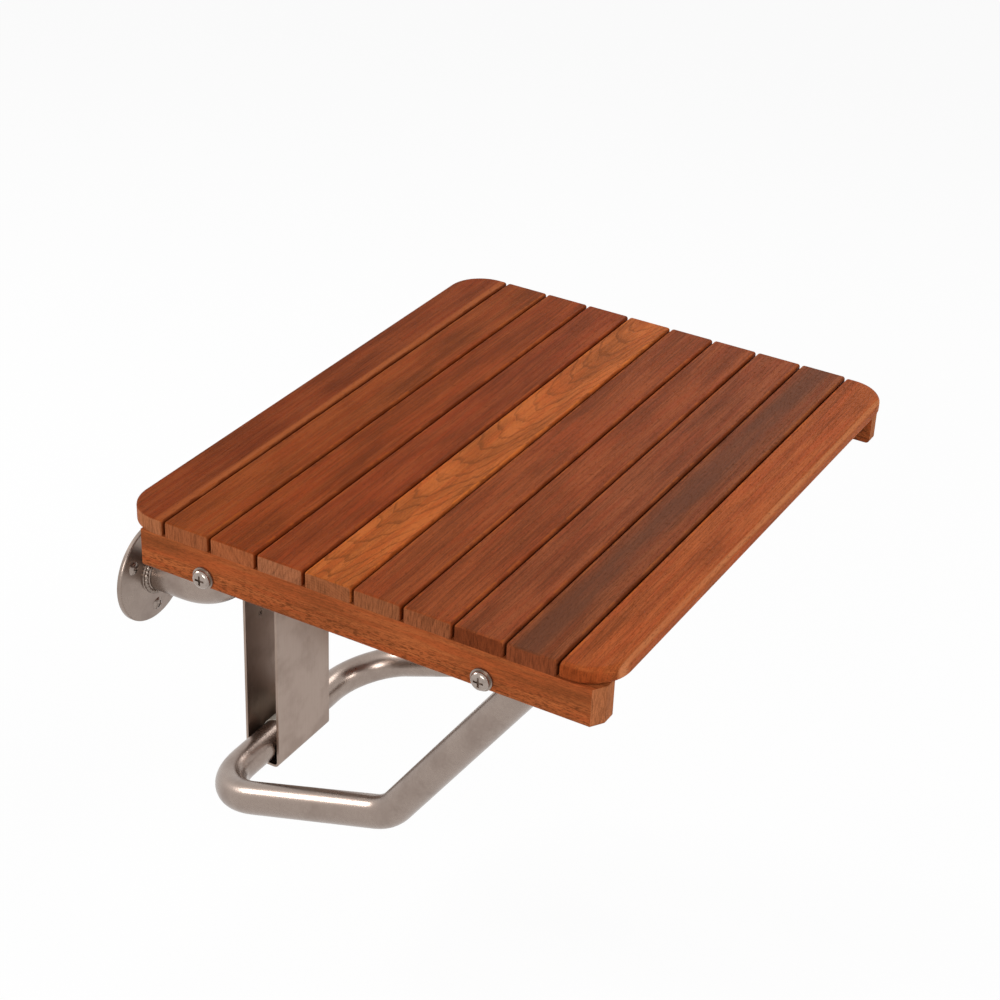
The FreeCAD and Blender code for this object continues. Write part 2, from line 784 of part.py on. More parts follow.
def build():
    fill_sheet()
    screws = make_deck_screws()
    for number in range(1, int(value("slat_count")) + 1):
        make_slat(number, screws)
    for side_name, side in SIDES.items():
        make_rail(side_name, side, screws)
        make_side_bar(side_name, side)
        make_hanger(side_name, side)
        make_arm(side_name, side)
        make_flange(side_name, side)
    make_cross_bar("middle_cross_bar", "middle_bar_reach", "middle_bar_width")
    make_cross_bar("front_cross_bar", "front_bar_reach", "front_bar_width")
    make_hinge_rod()
    make_bushes()
    make_collars()
    make_guide()
    make_sleeve()
    make_brace()
    make_plugs()
    make_frame_bolts()
    DOC.recompute()
    check_document()
    write_parts()


build()
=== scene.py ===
import math

import bpy
from mathutils import Euler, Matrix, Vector


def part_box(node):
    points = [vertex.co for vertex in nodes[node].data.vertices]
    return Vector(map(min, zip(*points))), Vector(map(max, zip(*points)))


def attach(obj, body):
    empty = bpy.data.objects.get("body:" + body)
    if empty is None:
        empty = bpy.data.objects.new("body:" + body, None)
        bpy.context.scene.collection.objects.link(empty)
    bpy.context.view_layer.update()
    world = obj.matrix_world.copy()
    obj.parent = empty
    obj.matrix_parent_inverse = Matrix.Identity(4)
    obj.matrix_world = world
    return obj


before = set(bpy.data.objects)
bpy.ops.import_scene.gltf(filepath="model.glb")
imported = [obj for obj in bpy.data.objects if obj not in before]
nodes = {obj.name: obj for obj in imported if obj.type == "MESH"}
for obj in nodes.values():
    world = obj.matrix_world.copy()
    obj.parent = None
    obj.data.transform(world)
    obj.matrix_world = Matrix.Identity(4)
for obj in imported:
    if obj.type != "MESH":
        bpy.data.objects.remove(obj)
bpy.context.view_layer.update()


# Wall flanges and arms: two round stainless flanges, pressed slightly dished, with a bent
# tube welded into each. The tubes rise to the hinge barrels that the seat swings on. All of
# the frame's steel is satin finished: fine drawn lines under faint cloudy handling marks.


class Wire:
    """One socket in a node tree. Sums and products of wires add their Math nodes."""

    def __init__(self, tree, socket=None):
        self.tree = tree
        self.socket = socket

    def add(self, kind, settings=None, inputs=None, out=0):
        """Adds a node, its settings first, then the values or wires of its sockets."""
        node = self.tree.nodes.new(kind)
        for name, value in (settings or {}).items():
            setattr(node, name, value)
        for key, value in (inputs or {}).items():
            plug(self.tree, node.inputs[key], value)
        return Wire(self.tree, node.outputs[out] if node.outputs else None)

    def maths(self, operation, first, second=0.0):
        return self.add("ShaderNodeMath", {"operation": operation}, {0: first, 1: second})

    def __add__(self, other):
        return self.maths("ADD", self, other)

    def __radd__(self, other):
        return self.maths("ADD", other, self)

    def __sub__(self, other):
        return self.maths("SUBTRACT", self, other)

    def __rsub__(self, other):
        return self.maths("SUBTRACT", other, self)

    def __mul__(self, other):
        return self.maths("MULTIPLY", self, other)

    def __rmul__(self, other):
        return self.maths("MULTIPLY", other, self)

    def __truediv__(self, other):
        return self.maths("DIVIDE", self, other)

    def __rtruediv__(self, other):
        return self.maths("DIVIDE", other, self)

    def __abs__(self):
        return self.maths("ABSOLUTE", self)

    def root(self):
        return self.maths("SQRT", self)

    def part(self):
        """What is left over a whole number, which makes a saw-tooth."""
        return self.maths("FRACT", self)

    def kept(self):
        """The value held between 0 and 1."""
        return self.maths("MINIMUM", self.maths("MAXIMUM", self, 0.0), 1.0)

    def rise(self, low, high):
        """0 below low, 1 above high, and a smooth slope between them."""
        slope = {"Value": self, "From Min": low, "From Max": high}
        return self.add("ShaderNodeMapRange", {"interpolation_type": "SMOOTHSTEP"}, slope)

    def vector(self, x, y, z):
        return self.add("ShaderNodeCombineXYZ", None, {0: x, 1: y, 2: z})

    def split(self, place):
        """The three parts of a vector."""
        first = self.add("ShaderNodeSeparateXYZ", None, {0: place})
        return [Wire(self.tree, socket) for socket in first.socket.node.outputs]

    def mix(self, share, first, second):
        """Two colours mixed by a share from 0 to 1."""
        return self.add("ShaderNodeMix", {"data_type": "RGBA"}, {0: share, 6: first, 7: second}, 2)

    def noise(self, place, detail=2.0, rough=0.5, scale=1.0):
        look = {"Vector": place, "Scale": scale, "Detail": detail, "Roughness": rough}
        return self.add("ShaderNodeTexNoise", None, look)


def plug(tree, socket, value):
    """Sets a socket, or links a wire or several wires to it."""
    if isinstance(value, Wire):
        tree.links.new(value.socket, socket)
    elif isinstance(value, list):
        for wire in value:
            tree.links.new(wire.socket, socket)
    elif socket.type == "RGBA":
        socket.default_value = (*value, 1.0)
    else:
        socket.default_value = value


def new_finish(name):
    """An empty material and a wire to start its tree from."""
    material = bpy.data.materials.new(name)
    material.use_nodes = True
    material.node_tree.nodes.clear()
    return material, Wire(material.node_tree)


def close_finish(bench, looks, height, depth):
    """Joins the shader to the output, its surface raised by the height over a depth in metres."""
    bump = {"Height": height, "Strength": 1.0, "Distance": depth}
    looks["Normal"] = bench.add("ShaderNodeBump", None, bump)
    shader = bench.add("ShaderNodeBsdfPrincipled", None, looks)
    bench.add("ShaderNodeOutputMaterial", None, {"Surface": shader})


def satin_steel(name, bright, dull, roughness, drawn):
    """Stainless steel with fine lines along the direction in which it was drawn or brushed."""
    material, bench = new_finish(name)
    place = bench.add("ShaderNodeTexCoord", out="Object")
    clouds = bench.noise(place, detail=4.0, rough=0.6, scale=38.0)
    specks = bench.noise(place, detail=2.0, rough=0.7, scale=420.0)
    stretch = {0: place, 1: drawn}
    drawn_out = bench.add("ShaderNodeVectorMath", {"operation": "MULTIPLY"}, stretch)
    lines = bench.noise(drawn_out, detail=3.0)
    handled = clouds.rise(0.42, 0.68)
    share = (handled * 0.5 + (lines - 0.5) * 0.5 + (specks - 0.5) * 0.15 + 0.2).kept()
    looks = {
        "Base Color": bench.mix(share, bright, dull),
        "Metallic": 1.0,
        "Roughness": roughness + handled * 0.07 + (lines - 0.5) * 0.1,
    }
    close_finish(bench, looks, lines * 0.7 + specks * 0.3, depth=0.000014)
    return material


tube_steel = satin_steel(
    "tube_steel", bright=(0.35, 0.28, 0.24), dull=(0.255, 0.195, 0.165),
    roughness=0.27, drawn=(420, 420, 420),
)
flange_steel = satin_steel(
    "flange_steel", bright=(0.33, 0.262, 0.222), dull=(0.24, 0.185, 0.158),
    roughness=0.28, drawn=(900, 60, 900),
)


def dress(material, *names):
    """Gives CAD pieces their finish."""
    for name in names:
        for place in nodes[name].material_slots:
            place.material = material


dress(tube_steel, "left_wall_arm", "right_wall_arm")
dress(flange_steel, "left_flange", "right_flange")


# Weld beads of the wall frame: the welder runs one bead round each tube where it meets its
# flange, and a smaller one under each hinge barrel. A bead is a row of overlapping drops of
# the same steel, painted a little darker than the tube: a painted shade between the drops.


def new_pattern(name, sizes):
    """A Geometry Nodes tree with a named input for each size, and those inputs as wires."""
    tree = bpy.data.node_groups.new(name, "GeometryNodeTree")
    for label, size in sizes.items():
        kind = "NodeSocketInt" if isinstance(size, int) else "NodeSocketFloat"
        tree.interface.new_socket(label, in_out="INPUT", socket_type=kind)
    tree.interface.new_socket("Geometry", in_out="OUTPUT", socket_type="NodeSocketGeometry")
    entry = tree.nodes.new("NodeGroupInput")
    wires = {label: Wire(tree, entry.outputs[label]) for label in sizes}
    return tree, Wire(tree), wires


def close_pattern(bench, shape, material, smooth=True):
    """Turns the instances into real faces, gives them their finish and sends them out."""
    real = bench.add("GeometryNodeRealizeInstances", None, {"Geometry": shape})
    soft = bench.add("GeometryNodeSetShadeSmooth", None, {"Geometry": real, "Shade Smooth": smooth})
    done = bench.add("GeometryNodeSetMaterial", None, {"Geometry": soft, "Material": material})
    bench.add("NodeGroupOutput", None, {"Geometry": done})


def grow(name, tree, sizes, body):
    """Runs a pattern with these sizes, keeps the result as a plain mesh and fixes it to a body."""
    piece = bpy.data.objects.new(name, bpy.data.meshes.new(name))
    bpy.context.scene.collection.objects.link(piece)
    modifier = piece.modifiers.new("pattern", "NODES")
    modifier.node_group = tree
    for item in tree.interface.items_tree:
        if item.name in sizes:
            modifier[item.identifier] = sizes[item.name]
    bpy.context.view_layer.update()
    grown = piece.evaluated_get(bpy.context.evaluated_depsgraph_get())
    mesh = bpy.data.meshes.new_from_object(grown)
    piece.modifiers.remove(modifier)
    piece.data = mesh
    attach(piece, body)


def both_sides(bench, shape, side, reach, height, lean):
    """A copy of the shape at each side of the seat, leant about the seat's width."""
    copies = []
    for across in (side, 0.0 - side):
        place = bench.vector(across, reach, height)
        turn = bench.vector(lean, 0.0, 0.0)
        moved = {"Geometry": shape, "Translation": place, "Rotation": turn}
        copies.append(bench.add("GeometryNodeTransform", None, moved))
    return bench.add("GeometryNodeJoinGeometry", None, {"Geometry": copies})


# Painted shade: the beads' steel is darker than the tube's, standing in for the shade between the
# drops.
shaded_weld_steel = satin_steel(
    "shaded_weld_steel", bright=(0.28, 0.225, 0.19), dull=(0.18, 0.14, 0.115),
    roughness=0.27, drawn=(700, 700, 700),
)

flange_weld = {
    "Drops": 28, "Tube radius": 0.0142, "Bar radius": 0.0, "Drop size": 0.0024,
    "Side": 0.1405, "Reach": -0.0066, "Height": 0.0, "Lean": -math.pi / 2, "Seed": 3,
}
weld_tree, bench, size = new_pattern("weld bead", flange_weld)
index = bench.add("GeometryNodeInputIndex")
turn = index * math.tau / size["Drops"]
out = bench.maths("COSINE", turn) * size["Tube radius"]
over = bench.maths("SINE", turn) * size["Tube radius"]
saddle = (size["Bar radius"] * size["Bar radius"] - over * over).root()
ring = bench.add("GeometryNodeMeshCircle", None, {"Vertices": size["Drops"], "Radius": 1.0})
round_tube = bench.vector(out, over, 0.0 - saddle)
path = bench.add("GeometryNodeSetPosition", None, {"Geometry": ring, "Position": round_tube})
uneven = bench.add("FunctionNodeRandomValue", None, {2: 0.82, 3: 1.12, "Seed": size["Seed"]}, 1)
drop = bench.add("GeometryNodeMeshIcoSphere", None, {
    "Radius": size["Drop size"], "Subdivisions": 2,
})
drops = {
    "Points": path, "Instance": drop,
    "Rotation": bench.vector(0.0, 0.0, turn),
    "Scale": bench.vector(uneven * 0.8, uneven * 1.2, uneven * 0.9),
}
bead = bench.add("GeometryNodeInstanceOnPoints", None, drops)
sides = both_sides(bench, bead, size["Side"], size["Reach"], size["Height"], size["Lean"])
close_pattern(bench, sides, shaded_weld_steel)
grow("flange_welds", weld_tree, flange_weld, "wall_frame")

barrel_weld = dict(flange_weld)
barrel_weld.update({
    "Drops": 52, "Tube radius": 0.0128, "Bar radius": 0.0142, "Drop size": 0.0013,
    "Reach": -0.084, "Height": 0.073, "Lean": 0.0, "Seed": 5,
})
grow("barrel_welds", weld_tree, barrel_weld, "wall_frame")


# Wall screws: six domed stainless screws hold the flanges, three to a flange. Each has a
# pressed cross recess, stands about 2.3 mm proud, and was driven until its turn came to rest
# anywhere. Their shanks fill the flange holes as far as the wall.


def cross_recess(bench, head, top, length, width, depth):
    """The head with a cross pressed into its top."""
    bars = []
    for across, along in ((length, width), (width, length)):
        bar = {"Size": bench.vector(across, along, depth * 2.0)}
        block = bench.add("GeometryNodeMeshCube", None, bar)
        raised = {"Geometry": block, "Translation": bench.vector(0.0, 0.0, top)}
        bars.append(bench.add("GeometryNodeTransform", None, raised))
    cut = {"Mesh 1": head, "Mesh 2": bars}
    return bench.add("GeometryNodeMeshBoolean", {"operation": "DIFFERENCE", "solver": "EXACT"}, cut)


def polished_steel(name, colour, roughness):
    """Turned and rumbled steel: bright, with soft rub marks."""
    material, bench = new_finish(name)
    place = bench.add("ShaderNodeTexCoord", out="Object")
    rubs = bench.noise(place, detail=3.0, rough=0.65, scale=240.0)
    grime = bench.noise(place, detail=2.0, scale=900.0).rise(0.5, 0.75)
    darker = tuple(0.72 * part for part in colour)
    looks = {
        "Base Color": bench.mix((rubs.rise(0.4, 0.7) * 0.6 + grime * 0.25).kept(), colour, darker),
        "Metallic": 1.0,
        "Roughness": roughness + rubs * 0.12,
    }
    close_finish(bench, looks, rubs, depth=0.00004)
    return material


screw_steel = polished_steel("screw_steel", (0.32, 0.262, 0.227), roughness=0.2)

wall_screws = {
    "Head radius": 0.005, "Dome": 0.0023, "Shank radius": 0.0024, "Shank": 0.0036,
    "Recess length": 0.0052, "Recess width": 0.0011, "Recess depth": 0.0013,
    "Holes": 3, "Hole circle": 0.027, "Side": 0.1405, "Face": -0.0039, "Seed": 11,
}
tree, bench, size = new_pattern("domed screw", wall_screws)
dome_squares = size["Head radius"] * size["Head radius"] + size["Dome"] * size["Dome"]
dome_radius = dome_squares / (size["Dome"] * 2.0)
ball = bench.add("GeometryNodeMeshUVSphere", None, {
    "Segments": 48, "Rings": 32, "Radius": dome_radius,
})
sunk = {"Geometry": ball, "Translation": bench.vector(0.0, 0.0, size["Dome"] - dome_radius)}
blank = bench.add("GeometryNodeMeshCylinder", None, {
    "Vertices": 48, "Radius": size["Head radius"], "Depth": size["Dome"] * 2.4,
})
button = bench.add(
    "GeometryNodeMeshBoolean", {"operation": "INTERSECT", "solver": "EXACT"},
    {"Mesh 2": [bench.add("GeometryNodeTransform", None, sunk), blank]},
)
shank = bench.add("GeometryNodeMeshCylinder", None, {
    "Vertices": 24, "Radius": size["Shank radius"], "Depth": size["Shank"],
})
tail = {"Geometry": shank, "Translation": bench.vector(0.0, 0.0, 0.0 - size["Shank"] / 2.0)}
head = cross_recess(
    bench, button, size["Dome"], size["Recess length"], size["Recess width"], size["Recess depth"]
)
screw = bench.add("GeometryNodeJoinGeometry", None, {
    "Geometry": [head, bench.add("GeometryNodeTransform", None, tail)],
})
circle = bench.add("GeometryNodeMeshCircle", None, {
    "Vertices": size["Holes"], "Radius": size["Hole circle"],
})
first_hole = math.radians(30)
turned = bench.add("GeometryNodeTransform", None, {
    "Geometry": circle, "Rotation": (0.0, 0.0, first_hole),
})
driven = bench.add("FunctionNodeRandomValue", None, {2: 0.0, 3: math.pi, "Seed": size["Seed"]}, 1)
set_screws = bench.add(
    "GeometryNodeInstanceOnPoints", None,
    {"Points": turned, "Instance": screw, "Rotation": bench.vector(0.0, 0.0, driven)},
)
sides = both_sides(bench, set_screws, size["Side"], size["Face"], 0.0, math.pi / 2)
close_pattern(bench, sides, screw_steel, False)
grow("wall_screws", tree, wall_screws, "wall_frame")


# Wall guide: a strip of stainless sheet folded into a narrow channel, screwed to the wall
# below the seat. The brace's foot slides up in its slot. The sheet is brushed along its
# length and clouded by handling.

guide_steel = satin_steel(
    "guide_steel", bright=(0.375, 0.285, 0.235), dull=(0.28, 0.205, 0.165),
    roughness=0.36, drawn=(1100, 1100, 40),
)
dress(guide_steel, "wall_guide")

guide_screws = {
    "Head radius": 0.0036, "Neck radius": 0.0022, "Sink": 0.0016,
    "Recess length": 0.0042, "Recess width": 0.0009, "Recess depth": 0.0009,
    "Holes apart": 0.03, "Rows apart": 0.085, "Middle": -0.0625, "Face": -0.00195, "Seed": 4,
}
tree, bench, size = new_pattern("flush screw", guide_screws)
cone = {
    "Vertices": 40, "Radius Top": size["Head radius"], "Radius Bottom": size["Neck radius"],
    "Depth": size["Sink"],
}
flush = bench.add("GeometryNodeTransform", None, {
    "Geometry": bench.add("GeometryNodeMeshCone", None, cone),
    "Translation": bench.vector(0.0, 0.0, 0.0 - size["Sink"]),
})
head = cross_recess(
    bench, flush, 0.0, size["Recess length"], size["Recess width"], size["Recess depth"]
)
grid = {
    "Size X": size["Holes apart"], "Size Y": size["Rows apart"],
    "Vertices X": 2, "Vertices Y": 2,
}
driven = bench.add("FunctionNodeRandomValue", None, {2: 0.0, 3: math.pi, "Seed": size["Seed"]}, 1)
rows = bench.add("GeometryNodeInstanceOnPoints", None, {
    "Points": bench.add("GeometryNodeMeshGrid", None, grid), "Instance": head,
    "Rotation": bench.vector(0.0, 0.0, driven),
})
hung = {
    "Geometry": rows, "Translation": bench.vector(0.0, size["Face"], size["Middle"]),
    "Rotation": (math.pi / 2, 0.0, 0.0),
}
close_pattern(bench, bench.add("GeometryNodeTransform", None, hung), screw_steel, False)
grow("guide_screws", tree, guide_screws, "wall_frame")


# Guide sleeve and hinge bushes: turned nylon, ivory when new and rubbed grey where they run.
# The sleeve turns on the brace's foot inside the guide, and the flanged bushes are pushed
# into the ends of the hinge barrels.


def turned_plastic(name, clean, rubbed, roughness):
    """Plastic with a faint turned texture and rubbed, greyer patches."""
    material, bench = new_finish(name)
    place = bench.add("ShaderNodeTexCoord", out="Object")
    patches = bench.noise(place, detail=3.0, scale=60.0).rise(0.4, 0.7)
    grit = bench.noise(place, detail=2.0, scale=1500.0)
    stretch = {0: place, 1: (2600, 30, 30)}
    marks = bench.noise(bench.add("ShaderNodeVectorMath", {"operation": "MULTIPLY"}, stretch))
    looks = {
        "Base Color": bench.mix((patches * 0.7 + (grit - 0.5) * 0.3).kept(), clean, rubbed),
        "Roughness": roughness + (marks - 0.5) * 0.2 + patches * 0.1,
    }
    close_finish(bench, looks, marks * 0.6 + grit * 0.4, depth=0.00006)
    return material


nylon = turned_plastic(
    "nylon", clean=(0.62, 0.59, 0.52), rubbed=(0.36, 0.34, 0.31), roughness=0.45
)
dress(nylon, "guide_sleeve", "hinge_bushes")


# Brace: one satin steel tube bent into an open frame, with a straight tube welded across
# its top and a black plug pushed into each end of that. Its foot runs in the wall guide and
# its top bar rests in the hangers under the seat.

dress(tube_steel, "brace_frame", "brace_top_bar")
plug_plastic = turned_plastic(
    "plug_plastic", clean=(0.03, 0.03, 0.032), rubbed=(0.07, 0.07, 0.072), roughness=0.5
)
dress(plug_plastic, "brace_end_plugs")

knee_reach, knee_drop = 0.183, 0.1568
top_reach, top_height = 0.339, 0.065
leg_lean = math.atan2(top_reach - knee_reach, top_height + knee_drop)
brace_weld = dict(flange_weld)
brace_weld.update({
    "Drops": 60, "Tube radius": 0.0128, "Bar radius": 0.0129, "Drop size": 0.0016,
    "Side": 0.1134, "Reach": -top_reach, "Height": top_height, "Lean": leg_lean, "Seed": 8,
})
grow("brace_welds", weld_tree, brace_weld, "brace")


# Hinge rod and collars: a polished rod runs the width of the seat through the barrels. A
# collar outside each barrel keeps it in place, held by a small socket screw from in front.

rod_steel = polished_steel("rod_steel", (0.46, 0.39, 0.35), roughness=0.25)
dress(rod_steel, "hinge_rod")
dress(screw_steel, "hinge_collars", "collar_screws")


# Seat frame: flat stainless bars inside the wooden rails, with two flat bars across them
# and two bent hangers under those. The bars come from rolled flat, so their faces are
# plainer and a little duller than the tubes.

bar_steel = satin_steel(
    "bar_steel", bright=(0.36, 0.28, 0.235), dull=(0.26, 0.195, 0.16),
    roughness=0.38, drawn=(60, 60, 1000),
)
dress(bar_steel, "left_side_bar", "right_side_bar", "middle_cross_bar", "front_cross_bar")
dress(bar_steel, "left_brace_hanger", "right_brace_hanger")


# Rails: two teak rails under the slats' ends, sawn square, with the nose cut back and the
# edges eased. They are oiled orange-brown, paler along the top, with darker mottled patches
# lower down, and the sawn noses show pale end grain.


def teak(name, run, box, tone, end, rings=3.0, heart=(-70.0, 10.0), lean=(0.02, 0.0), lines=0.3,
         patches=1.0, mottle=0.0, stripe=None, beside=None, seed=0.0):
    """Oiled teak sawn from a log: growth rings round a heart that leans along the board.

    run is the board's length, X or Y. tone is its usual colour and end that of its end
    grain. rings is the ring width, and heart how far the log's heart lies beside and above
    the board's middle, in millimetres. lean is how far the heart moves over the length.
    lines, patches and mottle are how strongly the rings, the soft patches and the dark
    flecks low on a rail show. stripe is a band along it: place, half width, tone, share; on
    the ninth slat it is a dark streak in the wood, on the first and last a painted highlight
    along an edge that catches the light. beside says on which long edges there is a
    neighbour: "both", "front", "back" or None. Those edges get a thin paler line, partly
    wear and partly painted highlight, and a painted shade of the gap beside them.
    """
    millimetres = 1000.0
    low, high = box
    middle = (low + high) / 2
    half = (high - low) / 2 * millimetres
    pale, dark = (tuple(share * part for part in tone) for share in (1.24, 0.6))
    material, bench = new_finish(name)
    x, y, z = bench.split(bench.add("ShaderNodeTexCoord", out="Object"))
    x, y, z = ((line - centre) * millimetres for line, centre in zip((x, y, z), middle))
    along, side = (x, y) if run == "X" else (y, x)
    side_half = half[1] if run == "X" else half[0]

    def grain(slow, fast, shift, detail=2.0, rough=0.5):
        """Noise drawn out along the board."""
        place = bench.vector(along * slow + (seed + shift), side * fast, z * fast)
        return bench.noise(place, detail, rough)

    wander = grain(0.006, 0.03, 0.0) - 0.5
    ripple = grain(0.03, 0.12, 9.0) - 0.5
    across = side - heart[0] - along * lean[0] + wander * 9.0
    depth = z - heart[1] - along * lean[1]
    radius = (across * across + depth * depth).root() + ripple * 3.2
    phase = (radius / rings).part()
    late = phase.rise(0.66, 0.93) * (1.0 - phase.rise(0.95, 1.0))
    bands = bench.noise(bench.vector(radius * 0.23, seed, along * 0.003)) - 0.5
    fibre = grain(0.025, 1.1, 21.0, detail=3.0, rough=0.65)
    pores = grain(0.25, 2.2, 33.0).rise(0.55, 0.7)
    clouds = grain(0.012, 0.06, 45.0, detail=3.0, rough=0.55)
    blush = grain(0.012, 0.2, 57.0, detail=3.0).rise(0.42, 0.6)
    speckle = grain(0.6, 1.6, 83.0, detail=3.0, rough=0.7)
    flat = bands * 1.1 + (fibre - 0.5) * 1.9 + (speckle - 0.5) * 1.1
    shade = flat + (clouds - 0.5) * patches * 2.0 + late * lines + 0.36
    ruddy = (tone[0] * 1.1, tone[1] * 0.78, tone[2] * 0.7)
    colour = bench.mix(shade.kept(), bench.mix(blush * 0.6, pale, ruddy), dark)
    # A band along the board: a dark streak in the wood on the ninth slat, and a painted highlight
    # along an edge that catches the light on the first and last.
    if stripe:
        where, width, stripe_tone, strength = stripe
        band = 1.0 - abs(side + wander * width * 0.6 - where).rise(width * 0.3, width)
        broken = (fibre * 0.9 + clouds * 1.6 - 0.35).kept()
        colour = bench.mix(band * broken * strength, colour, stripe_tone)
    colour = bench.mix(pores * 0.4, colour, tuple(0.5 * part for part in dark))
    if mottle:
        flecks = grain(0.2, 1.1, 61.0, detail=3.0, rough=0.6).rise(0.5, 0.6)
        low_down = 1.0 - (z + wander * 14.0).rise(-3.0, 5.0) * 0.8
        colour = bench.mix(flecks * low_down * mottle, colour, tuple(0.36 * part for part in tone))
    if beside:
        edges = {"both": abs(side), "front": 0.0 - side, "back": side}
        inside = side_half - edges[beside]
        ragged = grain(0.045, 0.03, 71.0, detail=4.0, rough=0.65)
        top = z.rise(half[2] - 3.5, half[2] - 2.0)
        # Partly wear and partly painted highlight: a thin paler line along the eased top edge
        # beside a gap, where the rounded edge catches the light.
        worn_and_lit_rim = inside.rise(0.5, 1.1) * (1.0 - inside.rise(1.6, 2.6))
        rubbed = worn_and_lit_rim * ragged.rise(0.47, 0.56) * top
        colour = bench.mix(rubbed * 0.6, colour, (tone[0] * 1.5, tone[1] * 1.45, tone[2] * 0.9))
        # Painted shade: the sides and eased edges beside a gap are darkened, standing in for the
        # shade down in the gap between the slats.
        gap_shade = 1.0 - (inside + (ragged - 0.5) * 4.0).rise(-0.4, 1.2)
        colour = bench.mix(gap_shade * 0.8, colour, (tone[0] * 0.5, tone[1] * 0.35, tone[2] * 0.2))
    facing = bench.split(bench.add("ShaderNodeNewGeometry", out="Normal"))
    sawn = abs(facing[0 if run == "X" else 1]).rise(0.6, 0.9)
    rays = bench.noise(bench.vector(side * 1.3, z * 0.15, seed), detail=2.0) - 0.5
    end_shade = (late * 0.25 + rays * 2.2 + (speckle - 0.5) * 1.2 + bands * 0.9 + 0.35).kept()
    end_pale, end_dark = (tuple(share * part for part in end) for share in (1.25, 0.6))
    end_grain = bench.mix(end_shade, end_pale, end_dark)
    looks = {
        "Base Color": bench.mix(sawn * 0.92, colour, end_grain),
        "Roughness": 0.42 + (fibre - 0.5) * 0.25 + pores * 0.15 + sawn * 0.2,
        "Specular IOR Level": 0.015,
    }
    close_finish(bench, looks, fibre * 0.5 - late * 0.2 - pores * 0.6, depth=0.0002)
    return material


for name, seed in (("left_rail", 2.0), ("right_rail", 14.0)):
    wood = teak(
        f"{name}_teak", "Y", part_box(name), tone=(0.33, 0.088, 0.026), end=(0.36, 0.125, 0.05),
        rings=3.4, heart=(-60.0, 6.0), lean=(0.01, 0.012), lines=0.25, mottle=0.75, seed=seed,
    )
    dress(wood, name)


# Frame bolts: two domed stainless bolts a side, each through a flat washer, the rail and
# the bar inside it, with a washer and a hexagon nut behind.

bolt_steel = polished_steel("bolt_steel", (0.38, 0.315, 0.275), roughness=0.19)
dress(bolt_steel, "frame_bolts", "frame_nuts")
dress(polished_steel("washer_steel", (0.34, 0.28, 0.24), roughness=0.26), "frame_washers")


# Slats: ten teak boards with eased edges. They come from different planks, so each has its
# own tone and grain: most are red-brown and straight, the fifth is pale and flat sawn, the
# ninth dark, and the first and last carry the deck's round corners.


def lay_slat(number, tone, end, beside="both", **grain):
    """Gives one slat the grain of its own plank."""
    name = f"slat_{number:02d}"
    seed = 3.7 * number
    wood = teak(f"{name}_teak", "X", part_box(name), tone, end, beside=beside, seed=seed, **grain)
    dress(wood, name)


# The first slat's band is a painted highlight along its front edge, which catches the light.
lay_slat(1, (0.202, 0.045, 0.013), (0.34, 0.12, 0.05), rings=3.2, lines=0.3, beside="front",
         stripe=(-14.5, 4.0, (0.4, 0.11, 0.032), 0.75))
lay_slat(2, (0.24, 0.056, 0.014), (0.28, 0.085, 0.032), rings=2.6, heart=(-90.0, -14.0), lines=0.3)
lay_slat(3, (0.24, 0.052, 0.013), (0.31, 0.092, 0.034), rings=3.0, heart=(60.0, -30.0),
         lean=(0.01, 0.01))
lay_slat(4, (0.235, 0.05, 0.014), (0.3, 0.108, 0.048), rings=3.6, heart=(-50.0, -28.0),
         lean=(0.03, 0.02))
lay_slat(5, (0.405, 0.106, 0.025), (0.24, 0.08, 0.032), rings=2.1, heart=(7.0, -30.0),
         lean=(-0.02, 0.085), lines=0.55, patches=1.1)
lay_slat(6, (0.252, 0.06, 0.018), (0.25, 0.083, 0.033), rings=2.8, heart=(80.0, 12.0))
lay_slat(7, (0.255, 0.061, 0.019), (0.24, 0.074, 0.029), rings=3.3, heart=(-66.0, -20.0))
lay_slat(8, (0.24, 0.061, 0.021), (0.145, 0.032, 0.01), rings=3.0, heart=(70.0, -22.0),
         lean=(0.015, 0.01))
lay_slat(9, (0.21, 0.058, 0.021), (0.195, 0.048, 0.017), rings=2.7, heart=(-80.0, 8.0), lines=0.35,
         stripe=(3.0, 13.0, (0.125, 0.044, 0.022), 0.75))
# The last slat's band is a painted highlight along its front top edge.
lay_slat(10, (0.35, 0.083, 0.022), (0.25, 0.048, 0.011), rings=3.0, heart=(-75.0, -10.0),
         lines=0.25, beside="back", stripe=(-15.7, 1.8, (0.55, 0.2, 0.08), 0.8))


# Deck screws: countersunk stainless screws driven up through the rails, two to a slat, so
# that none shows on the sitting side.

dress(screw_steel, "deck_screws")


# Studio: the seat hangs a little above a plain pale floor, with no wall behind it, in soft
# even light, and the camera stands above it and beyond its left front corner.

floor_drop = -0.356
floor_half = 9.0
corners = [(-1, -1), (1, -1), (1, 1), (-1, 1)]
places = [(x * floor_half, y * floor_half, floor_drop) for x, y in corners]
floor_mesh = bpy.data.meshes.new("floor")
floor_mesh.from_pydata(places, [], [(0, 1, 2, 3)])
floor = bpy.data.objects.new("floor", floor_mesh)
bpy.context.scene.collection.objects.link(floor)


def seen_through(bench):
    """1 for the rays of the camera and of metal and glass, which see a white room."""
    path = bench.add("ShaderNodeLightPath").socket.node.outputs
    kinds = ("Camera", "Glossy", "Transmission")
    seen, mirrored, clear = (Wire(bench.tree, path[f"Is {kind} Ray"]) for kind in kinds)
    return (seen + mirrored + clear).kept()


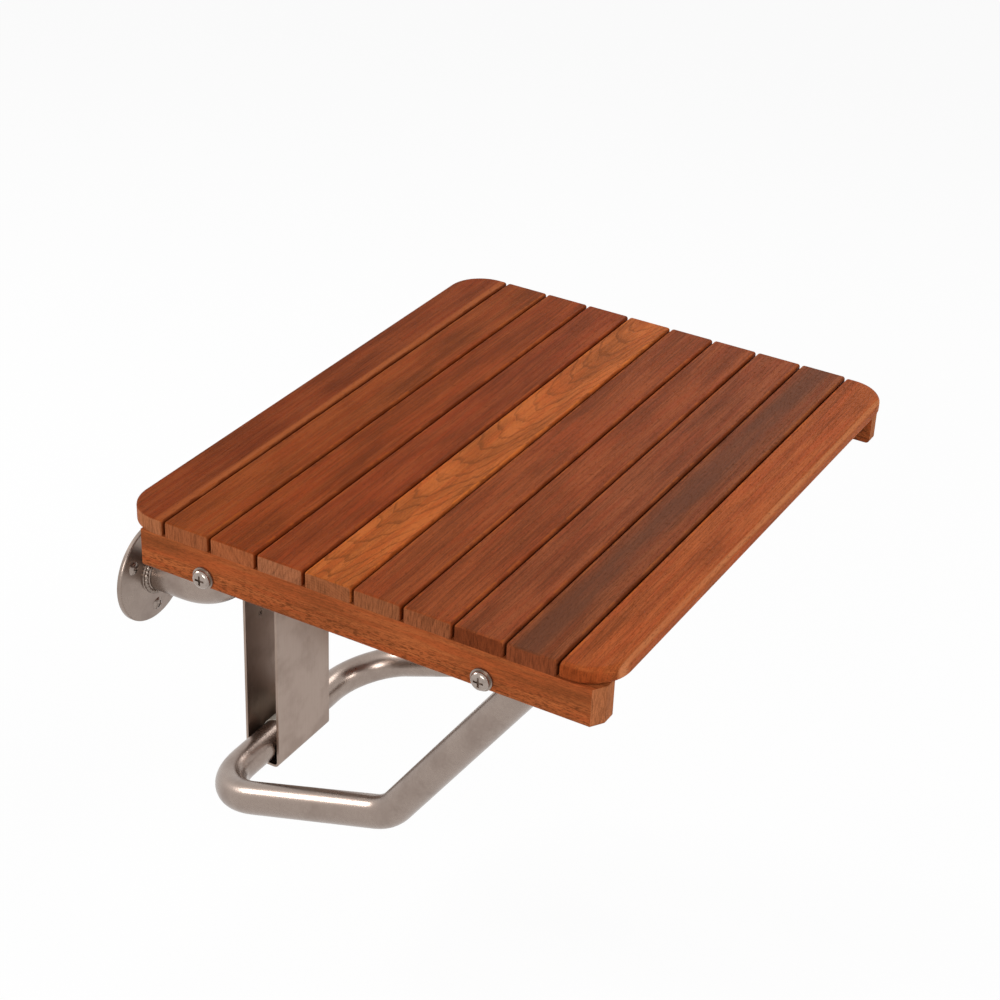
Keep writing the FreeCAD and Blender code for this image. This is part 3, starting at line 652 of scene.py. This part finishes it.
floor_paint, bench = new_finish("floor_paint")
mist = bench.noise(bench.add("ShaderNodeTexCoord", out="Object"), detail=2.0, scale=3.0)
paint = bench.mix(mist, (0.88, 0.88, 0.88), (0.86, 0.86, 0.86))
matt = bench.add("ShaderNodeBsdfDiffuse", None, {"Color": paint})
glow = bench.add("ShaderNodeEmission", None, {"Color": (1.0, 1.0, 1.0), "Strength": 1.0})
glow_share = 0.92
shares = {0: seen_through(bench) * glow_share, 1: matt, 2: glow}
floor_look = bench.add("ShaderNodeMixShader", None, shares)
bench.add("ShaderNodeOutputMaterial", None, {"Surface": floor_look})
floor_mesh.materials.append(floor_paint)

world = bpy.data.worlds.new("studio")
bpy.context.scene.world = world
world.use_nodes = True
world.node_tree.nodes.clear()
bench = Wire(world.node_tree)
soft = bench.add("ShaderNodeBackground", None, {"Color": (1.0, 1.0, 1.0), "Strength": 0.34})
plain = bench.add("ShaderNodeBackground", None, {"Color": (1.0, 1.0, 1.0), "Strength": 1.0})
room = bench.add("ShaderNodeMixShader", None, {0: seen_through(bench), 1: soft, 2: plain})
bench.add("ShaderNodeOutputWorld", None, {"Surface": room})


seat_middle = Vector((0.0, -0.22, 0.0))


def hang_lamp(name, place, size, power):
    """A square soft box aimed at the middle of the seat."""
    lamp = bpy.data.lights.new(name, "AREA")
    lamp.shape = "SQUARE"
    lamp.size = size
    lamp.energy = power
    holder = bpy.data.objects.new(name, lamp)
    holder.location = place
    holder.rotation_euler = (seat_middle - Vector(place)).to_track_quat("-Z", "Y").to_euler()
    bpy.context.scene.collection.objects.link(holder)


hang_lamp("front_box", (0.4, -2.6, 1.6), size=1.0, power=35.0)
hang_lamp("left_box", (-2.5, -0.6, 1.1), size=1.0, power=31.0)
hang_lamp("back_box", (-0.45, 1.75, 1.1), size=0.7, power=26.0)
hang_lamp("far_box", (1.3, 0.1, 0.9), size=0.6, power=5.0)

lens = bpy.data.cameras.new("camera")
lens.sensor_width = 36.0
lens.lens = 79.47
lens.shift_x = -0.0252
lens.shift_y = 0.0144
lens.clip_start = 0.05
lens.clip_end = 50.0
camera = bpy.data.objects.new("camera", lens)
camera.location = (-1.17169, -0.84852, 0.8343)
camera.rotation_euler = Euler([math.radians(turn) for turn in (59.3548, -2.4019, -60.3872)], "XYZ")
bpy.context.scene.collection.objects.link(camera)
bpy.context.scene.camera = camera
bpy.context.scene.view_settings.view_transform = "Standard"
